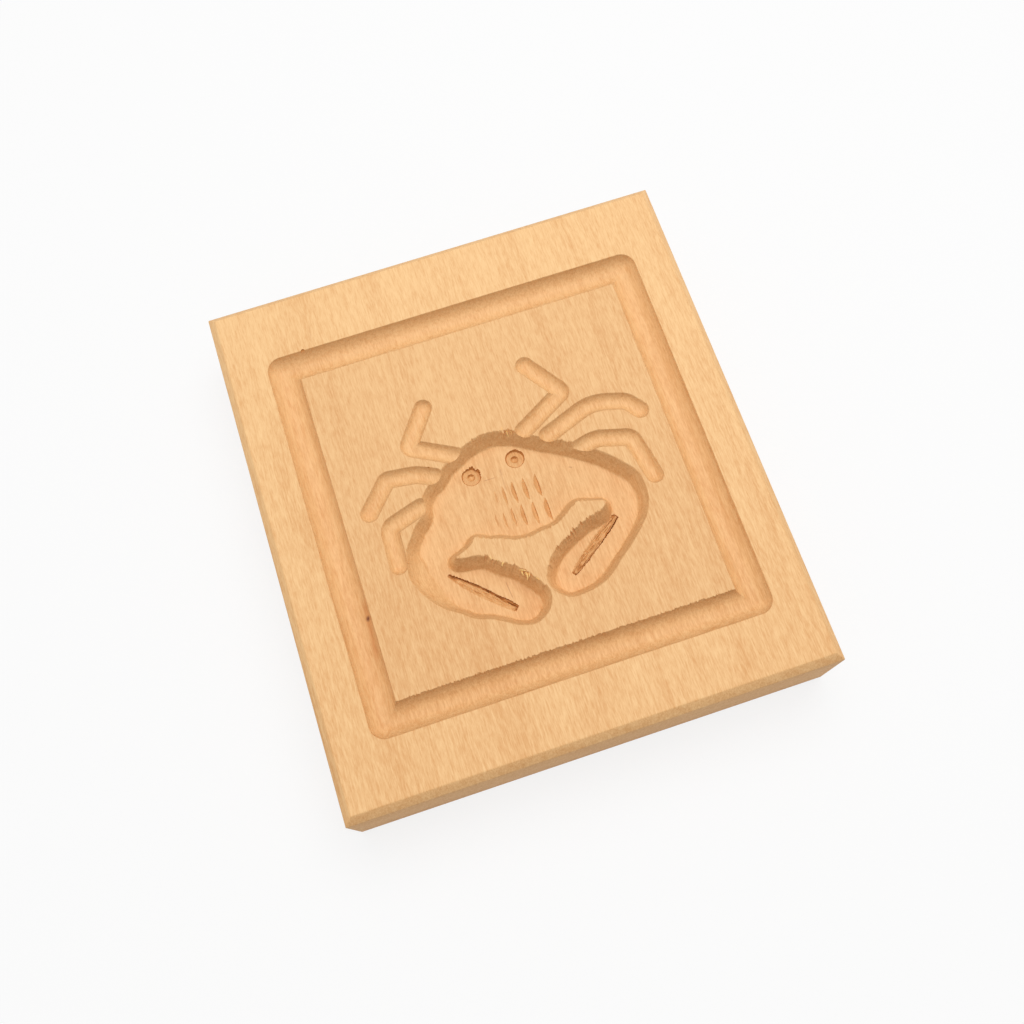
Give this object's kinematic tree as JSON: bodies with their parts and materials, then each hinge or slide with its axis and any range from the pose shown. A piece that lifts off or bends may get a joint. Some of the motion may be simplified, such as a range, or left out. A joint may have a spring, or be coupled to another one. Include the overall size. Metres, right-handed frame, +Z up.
{
  "type": "springerle mould",
  "caption": "Rectangular wooden biscuit press with a crab hollowed into its face, inside a rounded frame groove.",
  "frame": {"origin": "middle of the flat underside", "axes": "+Z up out of the pressing face, +Y along the board's length and its grain, towards the edge that the crab's eyes are nearer, +X to the right as the crab is seen from the pressing side"},
  "size_m": [0.103, 0.114, 0.022],
  "materials": {
    "wood": "bare pale wood, planed and sanded, with the carving left as cut"
  },
  "bodies": {
    "root": {"mould_board": "wood"}
  },
  "joints": []
}
